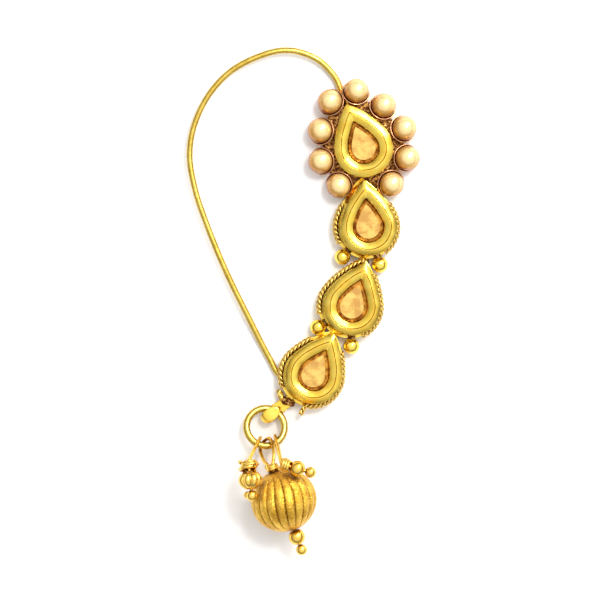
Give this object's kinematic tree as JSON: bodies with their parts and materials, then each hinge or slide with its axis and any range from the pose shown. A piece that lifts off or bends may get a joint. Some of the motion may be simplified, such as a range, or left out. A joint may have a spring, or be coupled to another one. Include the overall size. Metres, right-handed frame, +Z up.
{
  "type": "nath nose ring",
  "caption": "Nose ring lying flat: a springy wire loop, a flower of pearls round a teardrop stone, a curved chain of teardrop settings, and a jump ring with a ribbed bead and small drops.",
  "frame": {"origin": "middle of the box on plan, on the surface that the jewel lies on", "axes": "+Y along the jewel from the drops towards the flower, +X away from the wire loop towards the settings, +Z up from the surface, the way the stones face"},
  "size_m": [0.028, 0.0606, 0.0083],
  "materials": {
    "gold": "polished gold plating, worn brighter on its edges",
    "antique_gold": "gold plating with dark antique in its hollows",
    "amber_stone": "cut glass over foil",
    "pearl": "cream pearl lustre"
  },
  "bodies": {
    "root": {"setting_frame": "gold", "stone_1": "amber_stone", "stone_2": "amber_stone", "stone_3": "amber_stone", "stone_4": "amber_stone", "pearl_1": "pearl", "pearl_2": "pearl", "pearl_3": "pearl", "pearl_4": "pearl", "pearl_5": "pearl", "pearl_6": "pearl", "pearl_7": "pearl", "pearl_8": "pearl", "pearl_9": "pearl", "rope_2_left": "antique_gold", "rope_2_right": "antique_gold", "rope_3_left": "antique_gold", "rope_3_right": "antique_gold", "rope_4_left": "antique_gold", "rope_4_right": "antique_gold", "nose_wire": "gold", "jump_ring": "gold", "left_pin": "gold", "middle_pin": "gold", "right_pin": "gold", "melon_bead": "gold", "fluted_bead": "gold", "plain_bead": "gold", "spacer_bead": "gold"}
  },
  "joints": []
}
